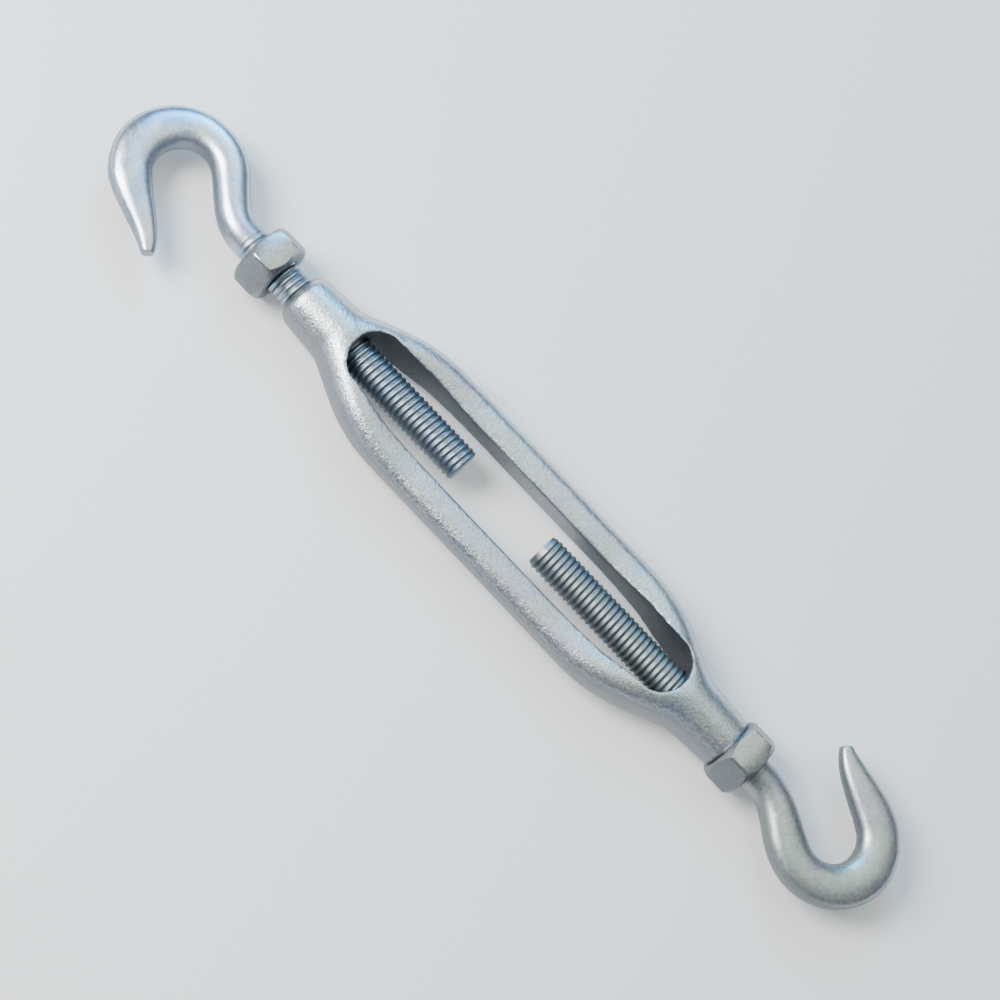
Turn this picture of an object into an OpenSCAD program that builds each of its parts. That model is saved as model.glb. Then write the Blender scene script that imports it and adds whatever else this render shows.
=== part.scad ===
// Hook-and-hook rigging turnbuckle: an open forged frame, a right-hand and a
// left-hand threaded hook, and a lock nut on each. All sizes in millimetres.
// X is the thread axis, with the right-hand hook at +X. The frame and hooks lie in
// the XY plane, and Z is its normal. The origin is the middle of the frame.

/* [Thread] */
// Major diameter of both threads
thread_d = 12.7; // [12.4:0.1:12.8]
// Pitch of both threads, 12 per inch
thread_pitch = 2.1167; // [1.9:0.0001:2.3]
// Depth of a groove below the crest
thread_depth = 1; // [0.8:0.05:1.35]
// Radial running clearance in the frame and the nuts
thread_clear = 0.05; // [0.02:0.01:0.1]

/* [Frame] */
// Length of the frame over both bosses
frame_len = 203.2; // [198:0.1:208]
// Length of the window between the bosses
window_len = 152.4; // [148:0.1:156]
// Width of the window along its straight part
window_w = 23.8; // [23:0.1:25]
// Width over both rails
frame_w = 46.2; // [44:0.1:48]
// Thickness of the rails along Z
rail_t = 10.8; // [10:0.1:12]
// Radius that rounds the outer edges of a rail
rail_round = 4.6; // [3:0.1:5]
// Boss diameter at its outer end
boss_end_d = 19.2; // [18.6:0.1:20]
// Boss diameter where it meets the rails
boss_root_d = 22; // [21.6:0.1:22.4]
// Rounding of the boss end at -X, and at +X
boss_round = [5, 1.2];

/* [Hook bolts] */
// Length of the threaded stretch
thread_len = 102.9; // [98:0.1:104]
// Length from the thread end to the outside of the hook
bolt_len = 157.5; // [154:0.1:159]
// Diameter of the neck, where it leaves the thread
neck_d = 12; // [11.6:0.1:12.2]
// Radius of the hook's centre line
hook_r = 16.5; // [16:0.1:17]
// Radial depth and Z thickness of the section at the crown
crown_section = [15.3, 10.8];
// Radial depth and Z thickness of the section at the blunt tip
tip_section = [4.6, 5];
// How far the left-hand hook is screwed out of the frame
lh_out = 9.6; // [8.5:0.1:11]

/* [Lock nuts] */
// Width across flats
nut_af = 22.225; // [21.5:0.025:22.5]
// Thickness of a nut
nut_t = 11.4; // [10.8:0.1:11.6]
// Diameter of a nut's flat end face, inside its chamfer
nut_face_d = 21; // [20:0.1:21.4]
// Turn of the nuts about the thread axis, from flats parallel to the frame
nut_turn = 0; // [0:1:10]
// Gap from the left-hand nut to the frame
lh_nut_gap = 7.8; // [7:0.1:8.5]

/* [Hidden] */
$fn = 96;

crest_r = thread_d / 2;
root_r = crest_r - thread_depth;
bore_r = crest_r + thread_clear;
half_len = frame_len / 2;
window_half = window_len / 2;

// The frame's outer shape blends from the rails to the bosses between these X values
width_blend = [44, 84];
thick_blend = [30, 78];
// The blend ends just inside the boss
blend_end_r = boss_root_d / 2 - 0.5;
// Semi-axes of the window's round end, and the length over which it then widens
window_end = [9, 10.4];
window_flare = 20;
// The boss grows out of the rails over this length
boss_start = [68, 9.2];
boss_shoulder = 80;
bore_chamfer = 0.3;

// Places along a hook bolt in its closed position at +X
bolt_end_x = 13.6;
thread_stop_x = bolt_end_x + thread_len;
crown_x = bolt_end_x + bolt_len;
eye_x = crown_x - hook_r - crown_section[0] / 2;
neck_start_x = thread_stop_x + 1;
bolt_chamfer = 1.3;
crest_flat = thread_pitch / 8;

// The bend of each hook: [Y of the eye, angle where the arc ends, tip, tip direction,
// how far the neck has grown towards the crown's section, how late the tip narrows].
// Forging leaves the two a little different.
arc_start = -114;
RH_BEND = [4.6, 57, [131.1, 30.3], [-0.72, 0.69], 0.7, 1.7];
LH_BEND = [0.8, 54, [133.4, 28.5], [-0.65, 0.76], 0.25, 1.2];
neck_handles = [9, 8];
tip_handles = [8, 7.5];

nut_ac = nut_af / cos(30);
// Largest radius and height of the 45 degree cone that chamfers a nut, a little past its corners
nut_cone_r = nut_ac / 2 + 0.5;
nut_cone_h = nut_cone_r - nut_face_d / 2;

function smooth(u) = let (v = min(max(u, 0), 1)) v * v * (3 - 2 * v);
function mix(a, b, t) = a + (b - a) * t;
function bezier(p, t) =
    pow(1 - t, 3) * p[0] + 3 * pow(1 - t, 2) * t * p[1] + 3 * (1 - t) * t * t * p[2] + pow(t, 3) * p[3];
function bezier_dir(p, t) =
    pow(1 - t, 2) * (p[1] - p[0]) + 2 * (1 - t) * t * (p[2] - p[1]) + t * t * (p[3] - p[2]);
function on_arc(centre, r, a) = centre + r * [cos(a), sin(a)];
function signed_power(v, e) = sign(v) * pow(abs(v), e);

// A closed solid through a list of rings, each with the same number of points
module skin(rings) {
    n = len(rings[0]);
    last = len(rings) - 1;
    sides = [for (i = [0:last - 1], j = [0:n - 1])
        [i * n + j, i * n + (j + 1) % n, (i + 1) * n + (j + 1) % n, (i + 1) * n + j]];
    first_cap = [for (j = [n - 1:-1:0]) j];
    last_cap = [for (j = [0:n - 1]) last * n + j];
    polyhedron([for (ring = rings, p = ring) p], concat([first_cap], sides, [last_cap]), convexity = 6);
}

// Turns a profile of [x, radius] points about the X axis
module turned(profile) {
    rotate([0, 90, 0]) rotate_extrude() polygon([for (p = profile) [p[1], p[0]]]);
}

// ---------- frame ----------

// How much of the rails' extra width is left at x
function shoulder(x) =
    let (u = min(max((abs(x) - width_blend[0]) / (width_blend[1] - width_blend[0]), 0), 1))
    (1 - u * u) * (1 - 0.4 * u * u * u);
function half_width(x) = blend_end_r + (frame_w / 2 - blend_end_r) * shoulder(x);
function thick_part(x) = smooth((abs(x) - thick_blend[0]) / (thick_blend[1] - thick_blend[0]));
function half_thick(x) = mix(rail_t / 2, blend_end_r, thick_part(x));
function corner_round(x) = mix(rail_round, blend_end_r, thick_part(x));

// A rounded rectangle across the frame at x, round where it meets a boss
function frame_ring(x, steps = 6) =
    let (r = min(corner_round(x), half_thick(x)), w = half_width(x) - r, h = half_thick(x) - r)
    [for (q = [0:3], i = [0:steps - 1])
        let (a = 90 * q + 90 * (i + 0.5) / steps, sy = (q == 0 || q == 3) ? 1 : -1, sz = q < 2 ? 1 : -1)
        [x, -sy * w - r * cos(a), sz * h + r * sin(a)]];

function frame_stations() =
    let (near = thick_blend[0], far = width_blend[1], n = 18)
    concat([for (i = [0:n]) -far + (far - near) * i / n], [for (i = [0:n]) near + (far - near) * i / n]);

function window_half_w(d) = d < window_end[0]
    ? window_end[1] * sqrt(1 - pow(1 - d / window_end[0], 2))
    : mix(window_end[1], window_w / 2, smooth((d - window_end[0]) / window_flare));

// Outline of the window, closer together where its end is round
module window_outline() {
    round_part = [for (i = [0:12]) window_end[0] * (1 - cos(90 * i / 12))];
    flare_part = [for (i = [1:8]) window_end[0] + window_flare * i / 8];
    d = concat(round_part, flare_part);
    n = len(d) - 1;
    right_top = [for (i = [n:-1:0]) [window_half - d[i], window_half_w(d[i])]];
    right_low = [for (i = [1:n]) [window_half - d[i], -window_half_w(d[i])]];
    left_low = [for (i = [n:-1:0]) [d[i] - window_half, -window_half_w(d[i])]];
    left_top = [for (i = [1:n]) [d[i] - window_half, window_half_w(d[i])]];
    polygon(concat(right_top, right_low, left_low, left_top));
}

// One boss at +X: a cone with a rounded end
module boss(end_round) {
    slope = (boss_root_d - boss_end_d) / 2 / (half_len - boss_shoulder);
    rim_r = boss_end_d / 2 + slope * end_round - end_round;
    rim = [for (i = [0:8])
        [half_len - end_round + end_round * sin(90 * i / 8), rim_r + end_round * cos(90 * i / 8)]];
    turned(concat(
        [[boss_start[0], 0], boss_start, [boss_start[0] + 5, boss_root_d / 2 - 0.5]],
        [[boss_shoulder, boss_root_d / 2]],
        rim,
        [[half_len, 0]]));
}

module bore_cut() {
    turned([[window_half - window_end[0], 0], [window_half - window_end[0], bore_r],
        [half_len - bore_chamfer, bore_r], [half_len + 1, bore_r + bore_chamfer + 1], [half_len + 1, 0]]);
}

module frame_body() {
    color([0.66, 0.69, 0.71]) difference() {
        union() {
            skin([for (x = frame_stations()) frame_ring(x)]);
            boss(boss_round[1]);
            mirror([1, 0, 0]) boss(boss_round[0]);
        }
        translate([0, 0, -boss_root_d]) linear_extrude(2 * boss_root_d) window_outline();
        bore_cut();
        mirror([1, 0, 0]) bore_cut();
    }
}

// ---------- hook bolts ----------

// Threaded shank with ring grooves at the thread's pitch
module threaded_shank() {
    turns = floor((thread_len - 2 * bolt_chamfer) / thread_pitch);
    first = bolt_end_x + bolt_chamfer;
    grooves = [for (i = [0:turns - 1])
        let (x = first + i * thread_pitch)
        for (p = [[0, crest_r], [crest_flat, crest_r],
            [thread_pitch / 2, root_r], [thread_pitch / 2 + crest_flat, root_r]])
        [x + p[0], p[1]]];
    turned(concat(
        [[bolt_end_x, 0], [bolt_end_x, crest_r - bolt_chamfer]],
        grooves,
        [[first + turns * thread_pitch, crest_r], [thread_stop_x, neck_d / 2]],
        [[neck_start_x + 1, neck_d / 2], [neck_start_x + 1, 0]]));
}

// One ring of the hook, across its centre line. size is [radial depth, Z thickness],
// and squareness above 2 flattens the sides.
function hook_ring(at, direction, size, squareness, n = 20) =
    let (d = direction / norm(direction), side = [-d[1], d[0]])
    [for (i = [0:n - 1])
        let (a = -360 * i / n,
            u = size[0] / 2 * signed_power(cos(a), 2 / squareness),
            v = size[1] / 2 * signed_power(sin(a), 2 / squareness))
        [at[0] + side[0] * u, at[1] + side[1] * u, v]];

// Rings of the neck, the arc and the tapering tip
function hook_rings(bend) =
    let (
        eye = [eye_x, bend[0]],
        a1 = bend[1],
        tip = bend[2],
        start = on_arc(eye, hook_r, arc_start),
        stop = on_arc(eye, hook_r, a1),
        start_dir = [-sin(arc_start), cos(arc_start)],
        stop_dir = [-sin(a1), cos(a1)],
        neck_size = [neck_d - 0.1, neck_d - 0.1],
        start_size = mix(neck_size, crown_section, bend[4]),
        stop_size = mix(crown_section, tip_section, 0.08),
        neck = [[neck_start_x, 0], [neck_start_x + neck_handles[0], 0],
            start - neck_handles[1] * start_dir, start],
        nose = [stop, stop + tip_handles[0] * stop_dir, tip - tip_handles[1] * bend[3], tip])
    concat(
        [for (i = [0:7]) let (t = i / 8)
            hook_ring(bezier(neck, t), bezier_dir(neck, t), mix(neck_size, start_size, smooth(t)),
                mix(2, 2.4, smooth(t)))],
        [for (i = [0:15]) let (a = mix(arc_start, a1, i / 16))
            hook_ring(on_arc(eye, hook_r, a), [-sin(a), cos(a)],
                a < 0 ? mix(start_size, crown_section, smooth(1 - a / arc_start))
                      : mix(crown_section, stop_size, smooth(a / a1)), 2.4)],
        [for (i = [0:8]) let (t = i / 8)
            hook_ring(bezier(nose, t), bezier_dir(nose, t),
                mix(stop_size, tip_section, pow(t, bend[5])), 2.4)],
        [hook_ring(tip + 0.6 * bend[3], bend[3], 0.75 * tip_section, 2.2)]);

module hook_bolt(bend) {
    threaded_shank();
    skin(hook_rings(bend));
}

module rh_hook_bolt() {
    color([0.7, 0.73, 0.75]) hook_bolt(RH_BEND);
}

module lh_hook_bolt() {
    color([0.68, 0.73, 0.77]) rotate([0, 0, 180]) translate([lh_out, 0, 0]) hook_bolt(LH_BEND);
}

// ---------- lock nuts ----------

// Chamfered hexagon with its inner face at x
module nut(x) {
    difference() {
        intersection() {
            translate([x, 0, 0]) rotate([nut_turn, 0, 0]) rotate([0, 90, 0]) rotate([0, 0, 90])
                cylinder(d = nut_ac, h = nut_t, $fn = 6);
            turned([[x, 0], [x, nut_face_d / 2], [x + nut_cone_h, nut_cone_r],
                [x + nut_t - nut_cone_h, nut_cone_r], [x + nut_t, nut_face_d / 2], [x + nut_t, 0]]);
        }
        turned([[x - 1, 0], [x - 1, bore_r + bore_chamfer + 1], [x + bore_chamfer, bore_r],
            [x + nut_t - bore_chamfer, bore_r], [x + nut_t + 1, bore_r + bore_chamfer + 1],
            [x + nut_t + 1, 0]]);
    }
}

module rh_lock_nut() {
    color([0.72, 0.73, 0.74]) nut(half_len);
}

module lh_lock_nut() {
    color([0.72, 0.73, 0.74]) mirror([1, 0, 0]) nut(half_len + lh_nut_gap);
}

frame_body();
rh_hook_bolt();
lh_hook_bolt();
rh_lock_nut();
lh_lock_nut();
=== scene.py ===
"""The looks of a hook-and-hook rigging turnbuckle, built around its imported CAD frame."""

import math

import bmesh
import bpy
import numpy as np
from mathutils import Matrix, Vector, noise


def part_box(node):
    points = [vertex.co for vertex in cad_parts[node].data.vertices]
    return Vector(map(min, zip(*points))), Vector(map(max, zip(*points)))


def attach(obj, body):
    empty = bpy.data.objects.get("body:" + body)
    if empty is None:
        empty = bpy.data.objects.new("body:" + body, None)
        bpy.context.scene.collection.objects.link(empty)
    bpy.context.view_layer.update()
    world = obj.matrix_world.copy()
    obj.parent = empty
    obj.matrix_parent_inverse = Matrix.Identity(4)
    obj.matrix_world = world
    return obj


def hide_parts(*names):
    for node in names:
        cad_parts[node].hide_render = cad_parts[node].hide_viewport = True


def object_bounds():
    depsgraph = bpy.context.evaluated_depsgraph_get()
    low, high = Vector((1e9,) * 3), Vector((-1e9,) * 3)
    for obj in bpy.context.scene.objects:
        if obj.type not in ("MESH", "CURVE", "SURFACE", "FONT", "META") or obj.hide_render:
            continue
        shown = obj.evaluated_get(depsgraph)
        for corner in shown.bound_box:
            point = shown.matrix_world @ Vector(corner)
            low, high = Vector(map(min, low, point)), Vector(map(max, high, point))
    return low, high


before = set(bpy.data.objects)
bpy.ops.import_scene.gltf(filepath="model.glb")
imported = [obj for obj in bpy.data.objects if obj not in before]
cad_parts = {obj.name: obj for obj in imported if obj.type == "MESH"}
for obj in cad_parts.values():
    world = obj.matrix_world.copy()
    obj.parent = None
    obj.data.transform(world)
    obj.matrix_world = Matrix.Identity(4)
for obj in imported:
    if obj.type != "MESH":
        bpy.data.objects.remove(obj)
cad_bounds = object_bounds()

# Sizes below are in millimetres, and every mesh is scaled by MM when it is made.
MM = 0.001


def box_mm(node):
    low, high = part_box(node)
    return np.array(low) / MM, np.array(high) / MM


# ---------- sizes: what the frame's boxes give, then the design's own ----------

FRAME_HIGH = box_mm("frame_body")[1]
RH_BOLT_LOW, RH_BOLT_HIGH = box_mm("rh_hook_bolt")
LH_BOLT_LOW = box_mm("lh_hook_bolt")[0]
RH_NUT_LOW, RH_NUT_HIGH = box_mm("rh_lock_nut")
LH_NUT_HIGH = box_mm("lh_lock_nut")[1]

HALF_LEN = FRAME_HIGH[0]
FRAME_HALF_W = FRAME_HIGH[1]
BOSS_ROOT_R = FRAME_HIGH[2]
CREST_R = RH_BOLT_HIGH[2]
BOLT_END_X = RH_BOLT_LOW[0]
CROWN_X = RH_BOLT_HIGH[0]
LH_OUT = -LH_BOLT_LOW[0] - CROWN_X
NUT_FLAT_R = RH_NUT_HIGH[2]
NUT_CORNER_R = NUT_FLAT_R / math.cos(math.radians(30))
NUT_FACE_R = 10.5
NUT_T = RH_NUT_HIGH[0] - RH_NUT_LOW[0]
NUT_EDGE = 0.14
NUT_MOUTH = 0.7
NUT_CORNER_WEAR = 0.12
NUT_STEPS = 180

PITCH = 2.1167
THREAD_DEPTH = 0.55
THREAD_LEN = 102.9
BORE_R = CREST_R + 0.05
BOLT_CHAMFER = {"rh": 2.0, "lh": 0.8}
THREAD_FADE = 2.5 * PITCH
ROWS_PER_PITCH = 12
RING_N = 72

WINDOW_HALF = 76.2
WINDOW_HALF_W = 11.9
WINDOW_END = (9.0, 10.4)
WINDOW_FLARE = 20.0
RAIL_HALF_T = 5.4
RAIL_ROUND = 4.6
RAIL_CROWN = 0.5
BOSS_END_R = 9.6
BOSS_ROUND = {"left": 5.0, "right": 1.2}
BLEND_END_R = BOSS_ROOT_R - 0.5
WIDTH_BLEND = (44.0, 84.0)
THICK_BLEND = (30.0, 78.0)
BOSS_START = (68.0, 9.2)
BOSS_SHOULDER = 80.0
BORE_MOUTH = 0.3
VOXEL = 0.55
SMOOTHING = 6

NECK_D = 12.0
HOOK_R = 16.5
CROWN_SECTION = np.array([15.3, 10.8])
TIP_SECTION = np.array([4.6, 5.0])
ARC_START = -114.0
RH_BEND = {"eye_y": 4.6, "arc_end": 57.0, "tip": (131.1, 30.3), "tip_dir": (-0.72, 0.69),
           "neck_growth": 0.7, "tip_lateness": 1.7}
LH_BEND = {"eye_y": 0.8, "arc_end": 54.0, "tip": (133.4, 28.5), "tip_dir": (-0.65, 0.76),
           "neck_growth": 0.25, "tip_lateness": 1.2}
NECK_HANDLES = (9.0, 8.0)
TIP_HANDLES = (8.0, 7.5)
FORGED_SQUARENESS = 2.4

# How strongly shade is painted, from 0 to 1, on side faces and underneath, and evenly all over the
# threads
BODY_SHADE, BOLT_SHADE, NUT_SHADE, THREAD_SHADE = 0.68, 0.65, 0.68, 0.42
# Painted shade on the window's walls, in the middle and at the ends
WALL_SHADE = (0.62, 0.84)


# ---------- small helpers ----------

def smooth(u):
    u = np.clip(u, 0.0, 1.0)
    return u * u * (3.0 - 2.0 * u)


def mix(a, b, t):
    return a + (b - a) * t


def bezier(p, t):
    s = 1 - t
    return s ** 3 * p[0] + 3 * s * s * t * p[1] + 3 * s * t * t * p[2] + t ** 3 * p[3]


def bezier_dir(p, t):
    s = 1 - t
    d = s * s * (p[1] - p[0]) + 2 * s * t * (p[2] - p[1]) + t * t * (p[3] - p[2])
    return d / np.linalg.norm(d)


def fbm(point, size, octaves, seed):
    """Smooth noise from about -1 to 1 whose largest bumps are size millimetres across."""
    p = Vector(point) / size + Vector((seed, 2.3 * seed, -seed))
    return noise.fractal(p, 0.9, 2.1, octaves)


def make_object(name, verts, faces):
    """A mesh object from points in millimetres and its faces."""
    mesh = bpy.data.meshes.new(name)
    mesh.from_pydata((np.asarray(verts) * MM).tolist(), [], faces)
    mesh.validate()
    obj = bpy.data.objects.new(name, mesh)
    bpy.context.scene.collection.objects.link(obj)
    return obj


def loft_faces(rows, n):
    """Quads between rows of n points each, and a cap on both ends."""
    faces = []
    for i in range(rows - 1):
        for j in range(n):
            k = (j + 1) % n
            faces.append((i * n + j, i * n + k, (i + 1) * n + k, (i + 1) * n + j))
    faces.append(tuple(reversed(range(n))))
    faces.append(tuple((rows - 1) * n + j for j in range(n)))
    return faces


def loft(name, rings):
    return make_object(name, np.concatenate(rings), loft_faces(len(rings), len(rings[0])))


def round_ring(x, r, angles):
    """Points about the X axis. x and r are numbers, or one value for each angle."""
    return np.stack([x + 0 * angles, r * np.cos(angles), r * np.sin(angles)], -1)


def turned(name, profile, steps=96):
    """A solid of revolution about X, from [x, radius] points that start and end off the axis."""
    angles = np.arange(steps) * 2 * math.pi / steps
    return loft(name, [round_ring(x, r, angles) for x, r in profile])


def make_box(name, centre, size):
    c, h = np.array(centre, float), np.array(size, float) / 2
    corners = [c + h * (x, y, z) for x in (-1, 1) for y in (-1, 1) for z in (-1, 1)]
    faces = [(0, 1, 3, 2), (4, 6, 7, 5), (0, 4, 5, 1), (2, 3, 7, 6), (0, 2, 6, 4), (1, 5, 7, 3)]
    return make_object(name, corners, faces)


def apply_modifiers(obj):
    graph = bpy.context.evaluated_depsgraph_get()
    graph.update()
    mesh = bpy.data.meshes.new_from_object(obj.evaluated_get(graph))
    obj.modifiers.clear()
    obj.data = mesh


def combine(obj, tool, operation):
    """An exact boolean with a tool that is then thrown away."""
    m = obj.modifiers.new("boolean", "BOOLEAN")
    m.operation = operation
    m.solver = "EXACT"
    m.object = tool
    apply_modifiers(obj)
    bpy.data.objects.remove(tool)


def outward(obj):
    """Makes all faces point outward."""
    b = bmesh.new()
    b.from_mesh(obj.data)
    bmesh.ops.recalc_face_normals(b, faces=b.faces)
    b.to_mesh(obj.data)
    b.free()


def shade(obj, sharp_degrees):
    """Smooth shading, with edges sharper than an angle left crisp."""
    outward(obj)
    obj.data.shade_smooth()
    obj.data.set_sharp_from_angle(angle=math.radians(sharp_degrees))


def points_of(obj):
    co = np.empty(len(obj.data.vertices) * 3)
    obj.data.vertices.foreach_get("co", co)
    return co.reshape(-1, 3) / MM


def set_points(obj, points):
    obj.data.vertices.foreach_set("co", (points * MM).ravel())
    obj.data.update()


def normals_of(obj):
    n = np.empty(len(obj.data.vertices) * 3)
    obj.data.vertices.foreach_get("normal", n)
    return n.reshape(-1, 3)


def shaded_flanks(obj, most):
    """Painted shade for each vertex: more on the sides and underneath than on the top."""
    return most * smooth((0.78 - normals_of(obj)[:, 2]) / 0.34)


def write_attribute(obj, name, values):
    """A number at each vertex, which the material reads."""
    a = obj.data.attributes.new(name, "FLOAT", "POINT")
    a.data.foreach_set("value", np.asarray(values, np.float32))


# ---------- the forged frame ----------

def shoulder(x):
    u = np.clip((abs(x) - WIDTH_BLEND[0]) / (WIDTH_BLEND[1] - WIDTH_BLEND[0]), 0, 1)
    return (1 - u * u) * (1 - 0.4 * u ** 3)


def frame_ring(x, steps=14):
    """A rounded rectangle across the frame, round where it meets a boss."""
    thick = smooth((abs(x) - THICK_BLEND[0]) / (THICK_BLEND[1] - THICK_BLEND[0]))
    half_w = BLEND_END_R + (FRAME_HALF_W - BLEND_END_R) * shoulder(x)
    half_t = mix(RAIL_HALF_T, BLEND_END_R, thick)
    r = min(mix(RAIL_ROUND, BLEND_END_R, thick), half_t)
    ring = []
    for quarter in range(4):
        side_y = 1 if quarter in (0, 3) else -1
        side_z = 1 if quarter < 2 else -1
        for i in range(steps):
            a = math.radians(90 * quarter + 90 * (i + 0.5) / steps)
            y = side_y * (half_w - r) + r * math.cos(a)
            z = side_z * (half_t - r) + r * math.sin(a)
            ring.append((x, y, z))
    return np.array(ring)


def crown_rails(points):
    """Thins the rails a little towards their edges, which leaves their faces slightly convex."""
    middle = (WINDOW_HALF_W + FRAME_HALF_W) / 2
    off_middle = (np.abs(points[:, 1]) - middle) / (FRAME_HALF_W - WINDOW_HALF_W)
    along = smooth((WINDOW_HALF + 4.0 - np.abs(points[:, 0])) / 25.0)
    drop = RAIL_CROWN * along * np.clip(2 * off_middle, -1.0, 1.0) ** 2
    out = points.copy()
    out[:, 2] -= drop * np.clip(points[:, 2] / RAIL_HALF_T, -1.0, 1.0)
    return out


def window_half_w(d):
    if d < WINDOW_END[0]:
        return WINDOW_END[1] * math.sqrt(1 - (1 - d / WINDOW_END[0]) ** 2)
    return mix(WINDOW_END[1], WINDOW_HALF_W, smooth((d - WINDOW_END[0]) / WINDOW_FLARE))


def window_tool(half_z):
    """A prism of the window's outline."""
    depths = [WINDOW_END[0] * (1 - math.cos(math.radians(90 * i / 16))) for i in range(17)]
    depths += [WINDOW_END[0] + WINDOW_FLARE * i / 12 for i in range(1, 13)]
    half = [(WINDOW_HALF - d, window_half_w(d)) for d in depths]
    top = half + [(-x, y) for x, y in reversed(half)]
    outline = top + [(x, -y) for x, y in reversed(top[1:-1])]
    n = len(outline)
    rings = [np.array([(x, y, z) for x, y in outline]) for z in (-half_z, half_z)]
    return make_object("window_tool", np.concatenate(rings), loft_faces(2, n))


def boss(sign, end_round, overrun=1.2):
    """A boss that grows out of the rails and runs a little past its end, to be faced off."""
    slope = (BOSS_ROOT_R - BOSS_END_R) / (HALF_LEN - BOSS_SHOULDER)
    rim_x = HALF_LEN - end_round
    rim_r = BOSS_END_R + slope * end_round - end_round
    profile = [(BOSS_START[0], BOSS_START[1] - 3), BOSS_START, (BOSS_START[0] + 5, BOSS_ROOT_R - 0.5),
               (BOSS_SHOULDER, BOSS_ROOT_R)]
    profile += [(mix(BOSS_SHOULDER, rim_x, i / 6), mix(BOSS_ROOT_R, rim_r + end_round, i / 6))
                for i in range(1, 6)]
    profile += [(rim_x + end_round * math.sin(a), rim_r + end_round * math.cos(a))
                for a in np.radians(np.linspace(0, 80, 8))]
    profile.append((HALF_LEN + overrun, profile[-1][1] - 0.3 * overrun))
    return turned("boss", [(sign * x, r) for x, r in profile], 72)


def forge_blank():
    """The frame's outer shape and window, with every edge softened."""
    xs = np.linspace(-WIDTH_BLEND[1], WIDTH_BLEND[1], 113)
    body = loft("frame_forging", [frame_ring(x) for x in xs])
    outward(body)
    for sign, end_round in ((-1, BOSS_ROUND["left"]), (1, BOSS_ROUND["right"])):
        part = boss(sign, end_round)
        outward(part)
        combine(body, part, "UNION")
    tool = window_tool(2 * BOSS_ROOT_R)
    outward(tool)
    combine(body, tool, "DIFFERENCE")
    remesh = body.modifiers.new("remesh", "REMESH")
    remesh.mode = "VOXEL"
    remesh.voxel_size = VOXEL * MM
    soften = body.modifiers.new("soften", "SMOOTH")
    soften.factor = 0.5
    soften.iterations = SMOOTHING
    apply_modifiers(body)
    set_points(body, crown_rails(points_of(body)))
    return body


def roughen(body):
    """The skin of a forging: broad dents and smaller lumps, both fainter on the window's walls."""
    points, normals = points_of(body), normals_of(body)
    inner = np.abs(points[:, 1]) < WINDOW_HALF_W + 0.3
    calm = np.where(inner & (np.abs(points[:, 0]) < WINDOW_HALF), 0.35, 1.0)
    lift = np.array([0.05 * fbm(p, 9.0, 2, 4.0) + 0.025 * fbm(p, 1.5, 2, 9.0) for p in points])
    set_points(body, points + normals * (lift * calm)[:, None])


def face_and_bore(body):
    """Cuts both bosses to length and bores them."""
    for sign in (-1, 1):
        face = make_box("facing_tool", (sign * (HALF_LEN + 5), 0, 0), (10, 40, 40))
        combine(body, face, "DIFFERENCE")
    reach = WINDOW_HALF - WINDOW_END[0]
    profile = [(reach, BORE_R), (HALF_LEN - BORE_MOUTH, BORE_R), (HALF_LEN + 1, BORE_R + BORE_MOUTH + 1)]
    for sign in (-1, 1):
        bore = turned("bore_tool", [(sign * x, r) for x, r in profile])
        outward(bore)
        combine(body, bore, "DIFFERENCE")


def window_wall_shade(obj):
    """Painted shade on the window's walls, most of all at the ends."""
    points, normals = points_of(obj), normals_of(obj)
    x, y = np.abs(points[:, 0]), np.abs(points[:, 1])
    facing_in = smooth((-normals[:, 1] * np.sign(points[:, 1]) - 0.3) / 0.4)
    facing_in = np.maximum(facing_in, smooth((-normals[:, 0] * np.sign(points[:, 0]) - 0.3) / 0.4))
    inside = smooth((WINDOW_HALF_W + 1.2 - y) / 0.8) * smooth((WINDOW_HALF + 1.0 - x) / 0.8)
    return facing_in * inside * mix(WALL_SHADE[0], WALL_SHADE[1], smooth((x - 30) / 35))


def build_frame():
    body = forge_blank()
    roughen(body)
    face_and_bore(body)
    shade(body, 35)
    # painted shade on the flanks, underneath and on the window's walls
    write_attribute(body, "painted_shade", np.maximum(shaded_flanks(body, BODY_SHADE), window_wall_shade(body)))
    return body


# ---------- the hook bolts: one loft from the thread's end to the hook's tip ----------

def thread_radius(x, angles, hand, chamfer, stop_x):
    """Radius of a rounded helical thread, chamfered at its start, and how far into the groove."""
    phase = (x - BOLT_END_X) / PITCH - hand * angles / (2 * math.pi)
    wave = np.abs(2 * (phase - np.floor(phase)) - 1)
    groove = smooth((wave - 0.1) / 0.9)
    fade = smooth((stop_x - x) / THREAD_FADE)
    radius = mix(NECK_D / 2, CREST_R, fade) - THREAD_DEPTH * groove * fade
    start = CREST_R - THREAD_DEPTH - 0.35 + (x - BOLT_END_X) * (THREAD_DEPTH + 0.35) / chamfer
    return np.minimum(radius, start), groove * fade


def section_ring(at, direction, size, squareness):
    """A flattened forged section across the hook's centre line."""
    side = np.array([-direction[1], direction[0]])
    a = -np.arange(RING_N) * 2 * math.pi / RING_N
    c, s = np.cos(a), np.sin(a)
    u = size[0] / 2 * np.sign(c) * np.abs(c) ** (2 / squareness)
    v = size[1] / 2 * np.sign(s) * np.abs(s) ** (2 / squareness)
    return np.stack([at[0] + side[0] * u, at[1] + side[1] * u, v], -1)


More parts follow.
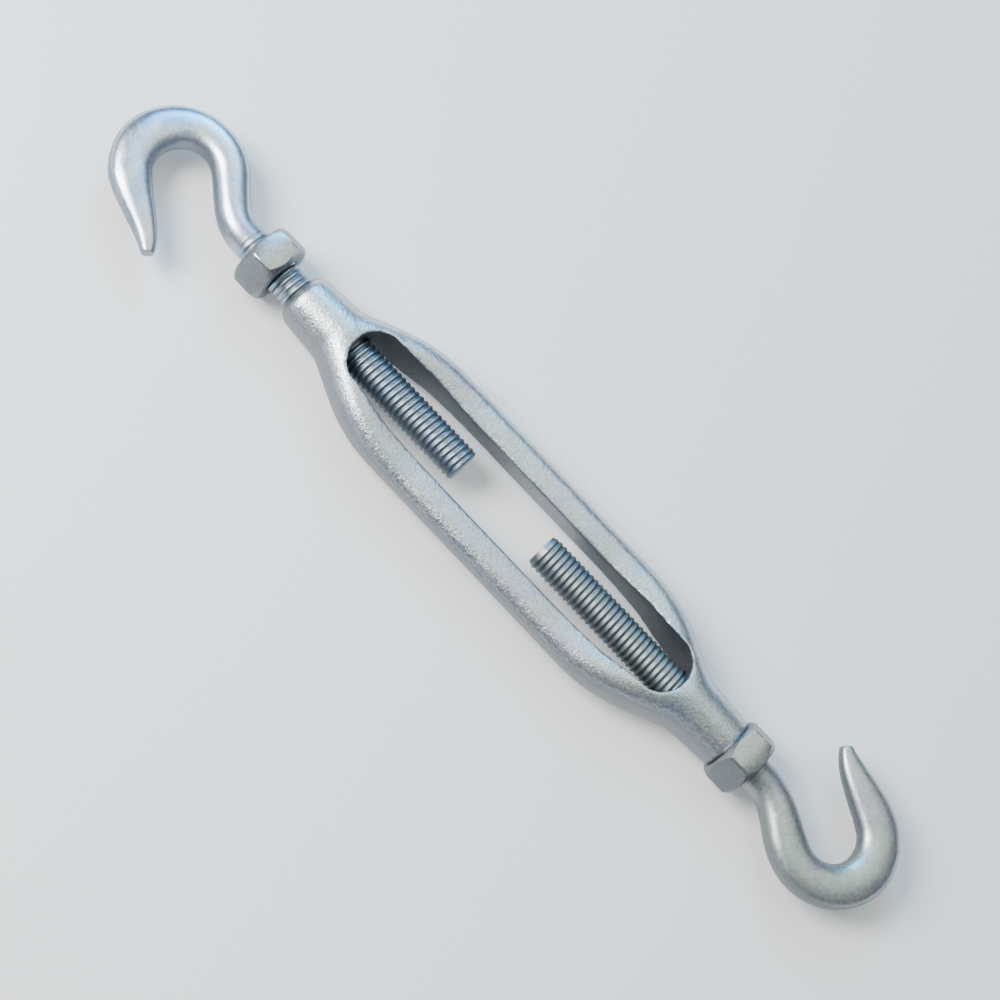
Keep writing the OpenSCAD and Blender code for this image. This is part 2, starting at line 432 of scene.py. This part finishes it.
def hook_rings(bend, neck_x):
    """Rings of the neck, the arc, the tapering nose and its blunt tip."""
    eye = np.array([CROWN_X - HOOK_R - CROWN_SECTION[0] / 2, bend["eye_y"]])
    a0, a1 = math.radians(ARC_START), math.radians(bend["arc_end"])
    tip, tip_dir = np.array(bend["tip"]), np.array(bend["tip_dir"])
    tip_dir = tip_dir / np.linalg.norm(tip_dir)

    def on_arc(a):
        return eye + HOOK_R * np.array([math.cos(a), math.sin(a)])

    def along(a):
        return np.array([-math.sin(a), math.cos(a)])

    start, stop = on_arc(a0), on_arc(a1)
    neck_size = np.array([NECK_D, NECK_D])
    start_size = mix(neck_size, CROWN_SECTION, bend["neck_growth"])
    stop_size = mix(CROWN_SECTION, TIP_SECTION, 0.08)
    neck = [np.array([neck_x, 0.0]), np.array([neck_x + NECK_HANDLES[0], 0.0]),
            start - NECK_HANDLES[1] * along(a0), start]
    nose = [stop, stop + TIP_HANDLES[0] * along(a1), tip - TIP_HANDLES[1] * tip_dir, tip]
    rings = []
    for i in range(1, 28):
        t = i / 28
        size = mix(neck_size, start_size, smooth(t))
        squareness = mix(2, FORGED_SQUARENESS, smooth(t))
        rings.append(section_ring(bezier(neck, t), bezier_dir(neck, t), size, squareness))
    for i in range(60):
        a = mix(a0, a1, i / 60)
        if a < 0:
            size = mix(start_size, CROWN_SECTION, smooth(1 - a / a0))
        else:
            size = mix(CROWN_SECTION, stop_size, smooth(a / a1))
        rings.append(section_ring(on_arc(a), along(a), size, FORGED_SQUARENESS))
    for i in range(31):
        t = i / 30
        size = mix(stop_size, TIP_SECTION, t ** bend["tip_lateness"])
        rings.append(section_ring(bezier(nose, t), bezier_dir(nose, t), size, FORGED_SQUARENESS))
    for out, scale in ((0.2, 0.97), (0.36, 0.89), (0.45, 0.74)):
        rings.append(section_ring(tip + out * tip_dir, tip_dir, TIP_SECTION * scale, 2.2))
    return rings


def build_hook_bolt(name, bend, hand, chamfer):
    """The bolt as it lies at +X. The other one is turned round afterwards."""
    angles = -np.arange(RING_N) * 2 * math.pi / RING_N
    stop_x = BOLT_END_X + THREAD_LEN
    neck_x = stop_x + 1
    rows = int(round((neck_x - BOLT_END_X) / PITCH * ROWS_PER_PITCH))
    rings, grooves = [], []
    for i in range(rows + 1):
        x = mix(BOLT_END_X, neck_x, i / rows)
        r, groove = thread_radius(x, angles, hand, chamfer, stop_x)
        rings.append(round_ring(x, r, angles))
        grooves.append(groove)
    hook = hook_rings(bend, neck_x)
    bolt = loft(name, rings + hook)
    groove = np.concatenate(grooves + [np.zeros(RING_N * len(hook))])
    # how far into the thread's groove, where the material paints shade
    write_attribute(bolt, "groove", groove)
    outward(bolt)
    points, normals = points_of(bolt), normals_of(bolt)
    forged = smooth((points[:, 0] - neck_x) / 6)
    lift = np.array([0.08 * fbm(p, 8.0, 2, 13.0) - 0.1 if f > 0 else 0.0
                     for p, f in zip(points, forged)])
    set_points(bolt, points + normals * (lift * forged)[:, None])
    shade(bolt, 50)
    # painted shade: evenly over the threads, on the flanks and underside of the hook
    write_attribute(bolt, "painted_shade", mix(THREAD_SHADE, shaded_flanks(bolt, BOLT_SHADE), forged))
    return bolt


# ---------- the lock nuts ----------

def nut_end_rows(hexagon):
    """[depth, radius] rows from the bore's mouth over an end face and its chamfer to the side."""
    flat = 0 * hexagon
    chamfer = hexagon - NUT_FACE_R
    return [
        (flat + NUT_MOUTH, flat + BORE_R),
        (flat, flat + BORE_R + NUT_MOUTH),
        (flat, flat + NUT_FACE_R - NUT_EDGE),
        (flat + 0.4 * NUT_EDGE, flat + NUT_FACE_R + 0.3 * NUT_EDGE),
        (0.5 * chamfer, NUT_FACE_R + 0.5 * chamfer),
        (chamfer - 0.5 * NUT_EDGE, hexagon - 0.55 * NUT_EDGE),
        (chamfer + NUT_EDGE, hexagon),
    ]


def build_nut(name, x0, sign):
    """A chamfered hexagon with a bore, built ring by ring from its inner face at x0."""
    angles = np.arange(NUT_STEPS) * 2 * math.pi / NUT_STEPS
    sixth = math.pi / 3
    # a corner lies along Y, so two flats face up and down
    from_flat = np.abs(angles % sixth - sixth / 2)
    hexagon = np.minimum(NUT_FLAT_R / np.cos(from_flat), NUT_CORNER_R - NUT_CORNER_WEAR)
    near = nut_end_rows(hexagon)
    far = [(NUT_T - x, r) for x, r in reversed(near)]
    outer = near + [(NUT_T / 2, hexagon)] + far
    rings = [round_ring(x0 + sign * x, r, angles) for x, r in outer]
    rows = len(rings)
    faces = []
    for i in range(rows):
        for j in range(NUT_STEPS):
            k, after = (j + 1) % NUT_STEPS, (i + 1) % rows
            row, next_row = i * NUT_STEPS, after * NUT_STEPS
            faces.append((row + j, row + k, next_row + k, next_row + j))
    nut = make_object(name, np.concatenate(rings), faces)
    shade(nut, 24)
    # painted shade on the nut's side flats and underneath
    write_attribute(nut, "painted_shade", shaded_flanks(nut, NUT_SHADE))
    return nut


# ---------- materials ----------

SPECKS = [(0.34, (0.66, 0.67, 0.69)), (0.66, (1.0, 1.0, 1.0))]
# The dark colour that paints shade on flanks, undersides, window walls and threads
SHADE_COLOUR = (0.08, 0.086, 0.105)
COOL_TINTS = [(0.30, (0.55, 0.65, 0.80)), (0.42, (0.68, 0.75, 0.78)), (0.55, (0.72, 0.76, 0.75)),
              (0.68, (0.67, 0.67, 0.82))]
# Darker, greener tints for the right hook: passivation colours with the dimmer light at that end painted
# in as shade
GREEN_TINTS_WITH_SHADE = [(0.30, (0.53, 0.61, 0.59)), (0.45, (0.60, 0.66, 0.61)), (0.58, (0.63, 0.67, 0.64)),
               (0.70, (0.57, 0.58, 0.68))]
# Bluer tints for the left hook: passivation colours with the blue window light's reflection painted in
SKY_TINTS_WITH_BLUE_LIGHT = [(0.30, (0.48, 0.68, 0.92)), (0.42, (0.60, 0.76, 0.92)), (0.55, (0.76, 0.83, 0.88)),
             (0.68, (0.70, 0.72, 0.92))]
NEUTRAL_TINTS = [(0.32, (0.47, 0.51, 0.50)), (0.5, (0.53, 0.56, 0.54)), (0.68, (0.49, 0.50, 0.53))]


def node_tree(material):
    material.use_nodes = True
    tree = material.node_tree
    tree.nodes.clear()
    return tree


def link(tree, a, b):
    tree.links.new(a, b)


def noise_node(tree, coords, scale, detail, roughness, distortion=0.0):
    n = tree.nodes.new("ShaderNodeTexNoise")
    n.inputs["Scale"].default_value = scale
    n.inputs["Detail"].default_value = detail
    n.inputs["Roughness"].default_value = roughness
    n.inputs["Distortion"].default_value = distortion
    link(tree, coords, n.inputs["Vector"])
    return n.outputs["Fac"]


def ramp(tree, fac, stops):
    n = tree.nodes.new("ShaderNodeValToRGB")
    e = n.color_ramp.elements
    while len(e) < len(stops):
        e.new(0.5)
    for element, (position, colour) in zip(e, stops):
        element.position = position
        element.color = (*colour, 1.0)
    link(tree, fac, n.inputs["Fac"])
    return n.outputs["Color"]


def paint_shade(tree, colour, attribute_name, tint):
    """Paints shade: mixes in a darker tint where an attribute of the mesh says so."""
    attribute = tree.nodes.new("ShaderNodeAttribute")
    attribute.attribute_name = attribute_name
    n = tree.nodes.new("ShaderNodeMix")
    n.data_type = "RGBA"
    n.inputs["B"].default_value = (*tint, 1.0)
    link(tree, attribute.outputs["Fac"], n.inputs["Factor"])
    link(tree, colour, n.inputs["A"])
    return n.outputs["Result"]


def rougher_where_shaded(tree, roughness):
    """Adds up to a fifth to the roughness where the mesh's painted shade is strong."""
    attribute = tree.nodes.new("ShaderNodeAttribute")
    attribute.attribute_name = "painted_shade"
    n = tree.nodes.new("ShaderNodeMath")
    n.operation = "MULTIPLY_ADD"
    n.inputs[1].default_value = 0.2
    link(tree, attribute.outputs["Fac"], n.inputs[0])
    link(tree, roughness, n.inputs[2])
    return n.outputs["Value"]


def map_range(tree, value, low, high):
    """Spreads the middle of a noise over low to high."""
    n = tree.nodes.new("ShaderNodeMapRange")
    n.inputs["From Min"].default_value = 0.3
    n.inputs["From Max"].default_value = 0.7
    n.inputs["To Min"].default_value = low
    n.inputs["To Max"].default_value = high
    link(tree, value, n.inputs["Value"])
    return n.outputs["Result"]


def bump(tree, height, distance, normal=None):
    n = tree.nodes.new("ShaderNodeBump")
    n.inputs["Distance"].default_value = distance
    n.inputs["Strength"].default_value = 1.0
    link(tree, height, n.inputs["Height"])
    if normal:
        link(tree, normal, n.inputs["Normal"])
    return n.outputs["Normal"]


def speckled(tree, colour, mottle):
    """Darkens a colour in fine specks."""
    n = tree.nodes.new("ShaderNodeMix")
    n.data_type = "RGBA"
    n.blend_type = "MULTIPLY"
    n.inputs["Factor"].default_value = 0.8
    link(tree, colour, n.inputs["A"])
    link(tree, ramp(tree, mottle, SPECKS), n.inputs["B"])
    return n.outputs["Result"]


def zinc(name, tints, rough, pebble, grain, groove_shade_colour=None):
    """Zinc plating, with painted shade mixed in where the mesh's attributes say. tints are the
    passivation's colours, with painted light in them on the hooks, rough its least and most roughness,
    pebble the height of the forged skin and grain the height of the finest texture, in metres."""
    material = bpy.data.materials.new(name)
    tree = node_tree(material)
    coords = tree.nodes.new("ShaderNodeTexCoord").outputs["Object"]
    broad = noise_node(tree, coords, 70.0, 3.0, 0.55, 0.6)
    mottle = noise_node(tree, coords, 850.0, 4.0, 0.65)
    colour = speckled(tree, ramp(tree, broad, tints), mottle)
    # painted shade on flanks, undersides, window walls and threads
    colour = paint_shade(tree, colour, "painted_shade", SHADE_COLOUR)
    if groove_shade_colour:
        # painted shade in the thread grooves
        colour = paint_shade(tree, colour, "groove", groove_shade_colour)
    pebbles = bump(tree, noise_node(tree, coords, 1250.0, 3.0, 0.55), pebble)
    normal = bump(tree, noise_node(tree, coords, 4000.0, 2.0, 0.6), grain, pebbles)
    roughness = rougher_where_shaded(tree, map_range(tree, mottle, rough[0], rough[1]))
    shader = tree.nodes.new("ShaderNodeBsdfPrincipled")
    shader.inputs["Metallic"].default_value = 1.0
    link(tree, colour, shader.inputs["Base Color"])
    link(tree, roughness, shader.inputs["Roughness"])
    link(tree, normal, shader.inputs["Normal"])
    out = tree.nodes.new("ShaderNodeOutputMaterial")
    link(tree, shader.outputs["BSDF"], out.inputs["Surface"])
    return material


def floor_material():
    """Pale paper that glows a little, which keeps the shadows soft."""
    material = bpy.data.materials.new("floor_paper")
    tree = node_tree(material)
    coords = tree.nodes.new("ShaderNodeTexCoord").outputs["Object"]
    tones = [(0.0, (0.90, 0.90, 0.90)), (1.0, (0.93, 0.93, 0.93))]
    colour = ramp(tree, noise_node(tree, coords, 3.0, 2.0, 0.5), tones)
    shader = tree.nodes.new("ShaderNodeBsdfPrincipled")
    shader.inputs["Roughness"].default_value = 0.9
    shader.inputs["Emission Color"].default_value = (1.0, 1.0, 1.0, 1.0)
    shader.inputs["Emission Strength"].default_value = 0.2
    link(tree, colour, shader.inputs["Base Color"])
    out = tree.nodes.new("ShaderNodeOutputMaterial")
    link(tree, shader.outputs["BSDF"], out.inputs["Surface"])
    return material


# ---------- pieces ----------

def finish_piece(obj, material, node, body):
    obj.data.materials.clear()
    obj.data.materials.append(material)
    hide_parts(node)
    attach(obj, body)


forged_zinc = zinc("zinc_forged", COOL_TINTS, (0.27, 0.40), 0.0002, 0.00001)
rh_zinc = zinc("zinc_rh_hook", GREEN_TINTS_WITH_SHADE, (0.34, 0.45), 0.00002, 0.000006, (0.24, 0.29, 0.30))
lh_zinc = zinc("zinc_lh_hook", SKY_TINTS_WITH_BLUE_LIGHT, (0.28, 0.38), 0.00002, 0.000006, (0.24, 0.31, 0.35))
nut_zinc = zinc("zinc_nut", NEUTRAL_TINTS, (0.24, 0.32), 0.00001, 0.000006)

body_piece = build_frame()
body_piece.name = "forged_frame"
finish_piece(body_piece, forged_zinc, "frame_body", "frame_body")

rh_bolt = build_hook_bolt("rh_hook_and_shank", RH_BEND, 1, BOLT_CHAMFER["rh"])
finish_piece(rh_bolt, rh_zinc, "rh_hook_bolt", "rh_hook_bolt")

lh_bolt = build_hook_bolt("lh_hook_and_shank", LH_BEND, -1, BOLT_CHAMFER["lh"])
lh_points = points_of(lh_bolt)
lh_points[:, 0] += LH_OUT
set_points(lh_bolt, lh_points * (-1, -1, 1))
finish_piece(lh_bolt, lh_zinc, "lh_hook_bolt", "lh_hook_bolt")

rh_nut = build_nut("rh_nut", RH_NUT_LOW[0], 1)
finish_piece(rh_nut, nut_zinc, "rh_lock_nut", "rh_lock_nut")
lh_nut = build_nut("lh_nut", LH_NUT_HIGH[0], -1)
finish_piece(lh_nut, nut_zinc, "lh_lock_nut", "lh_lock_nut")


# ---------- stage, light and camera ----------

# The camera and the lights are placed in metres, and the floor in millimetres as all meshes are.
# The camera looks down on the flat turnbuckle, tilted towards its -Y side, and turned so that +X
# runs down to the right of the picture.
TILT, YAW, ROLL = math.radians(22.9), math.radians(0.75), math.radians(46.45)
DISTANCE = 0.70
# How much of the turnbuckle's plane the picture takes in, and how far the origin is off its middle
VIEW_WIDTH = 0.32637
AIM_RIGHT, AIM_DOWN = 0.003998, 0.0061195
FLOOR_REACH = 2500.0

toward = Vector((math.sin(YAW), -math.sin(TILT) * math.cos(YAW), math.cos(TILT) * math.cos(YAW)))
flat_x = (Vector((1, 0, 0)) - toward * toward.x).normalized()
flat_y = toward.cross(flat_x)
right = math.cos(ROLL) * flat_x + math.sin(ROLL) * flat_y
up = -math.sin(ROLL) * flat_x + math.cos(ROLL) * flat_y


def aimed(position, z_axis, x_axis, y_axis):
    rotation = Matrix((x_axis, y_axis, z_axis)).transposed().to_4x4()
    return Matrix.Translation(position) @ rotation


def add_camera():
    data = bpy.data.cameras.new("camera")
    data.angle = 2 * math.atan(VIEW_WIDTH / 2 / DISTANCE)
    data.clip_start = 0.01
    camera = bpy.data.objects.new("camera", data)
    bpy.context.scene.collection.objects.link(camera)
    camera.matrix_world = aimed(toward * DISTANCE - right * AIM_RIGHT + up * AIM_DOWN, toward, right, up)
    bpy.context.scene.camera = camera


def add_panel(name, position, size, radiance, colour):
    """A soft square light, aimed at the middle of the frame."""
    data = bpy.data.lights.new(name, "AREA")
    data.shape = "RECTANGLE"
    data.size = data.size_y = size
    data.energy = radiance * size * size * math.pi
    data.color = colour
    light = bpy.data.objects.new(name, data)
    bpy.context.scene.collection.objects.link(light)
    z = Vector(position).normalized()
    x = Vector((0, 1, 0)).cross(z).normalized()
    light.matrix_world = aimed(Vector(position), z, x, z.cross(x))


def add_stage():
    low = cad_bounds[0][2] / MM
    signs = ((-1, -1), (1, -1), (1, 1), (-1, 1))
    corners = [(x * FLOOR_REACH, y * FLOOR_REACH, low) for x, y in signs]
    floor = make_object("floor", corners, [(0, 1, 2, 3)])
    floor.data.materials.append(floor_material())


def add_world():
    """A room that darkens towards the horizon, which gives the metal its shade."""
    world = bpy.data.worlds.new("room")
    bpy.context.scene.world = world
    world.use_nodes = True
    tree = world.node_tree
    tree.nodes.clear()
    direction = tree.nodes.new("ShaderNodeTexCoord").outputs["Generated"]
    split = tree.nodes.new("ShaderNodeSeparateXYZ")
    link(tree, direction, split.inputs[0])
    stops = [(0.0, (0.12, 0.125, 0.17)), (0.25, (0.11, 0.12, 0.19)), (0.5, (0.18, 0.20, 0.26)),
             (0.75, (0.38, 0.425, 0.41)), (1.0, (0.46, 0.515, 0.475))]
    colour = ramp(tree, split.outputs["Z"], stops)
    background = tree.nodes.new("ShaderNodeBackground")
    background.inputs["Strength"].default_value = 1.0
    link(tree, colour, background.inputs["Color"])
    out = tree.nodes.new("ShaderNodeOutputWorld")
    link(tree, background.outputs[0], out.inputs["Surface"])


add_stage()
add_world()
add_panel("key", (-0.63, -0.34, 0.68), 0.5, 21.0, (1.0, 0.99, 0.97))
add_panel("window", (-0.50, 0.62, 0.62), 0.42, 12.0, (0.16, 0.55, 1.0))
add_panel("overhead", (-0.05, 0.45, 1.1), 1.0, 1.2, (0.95, 1.0, 0.92))
add_camera()
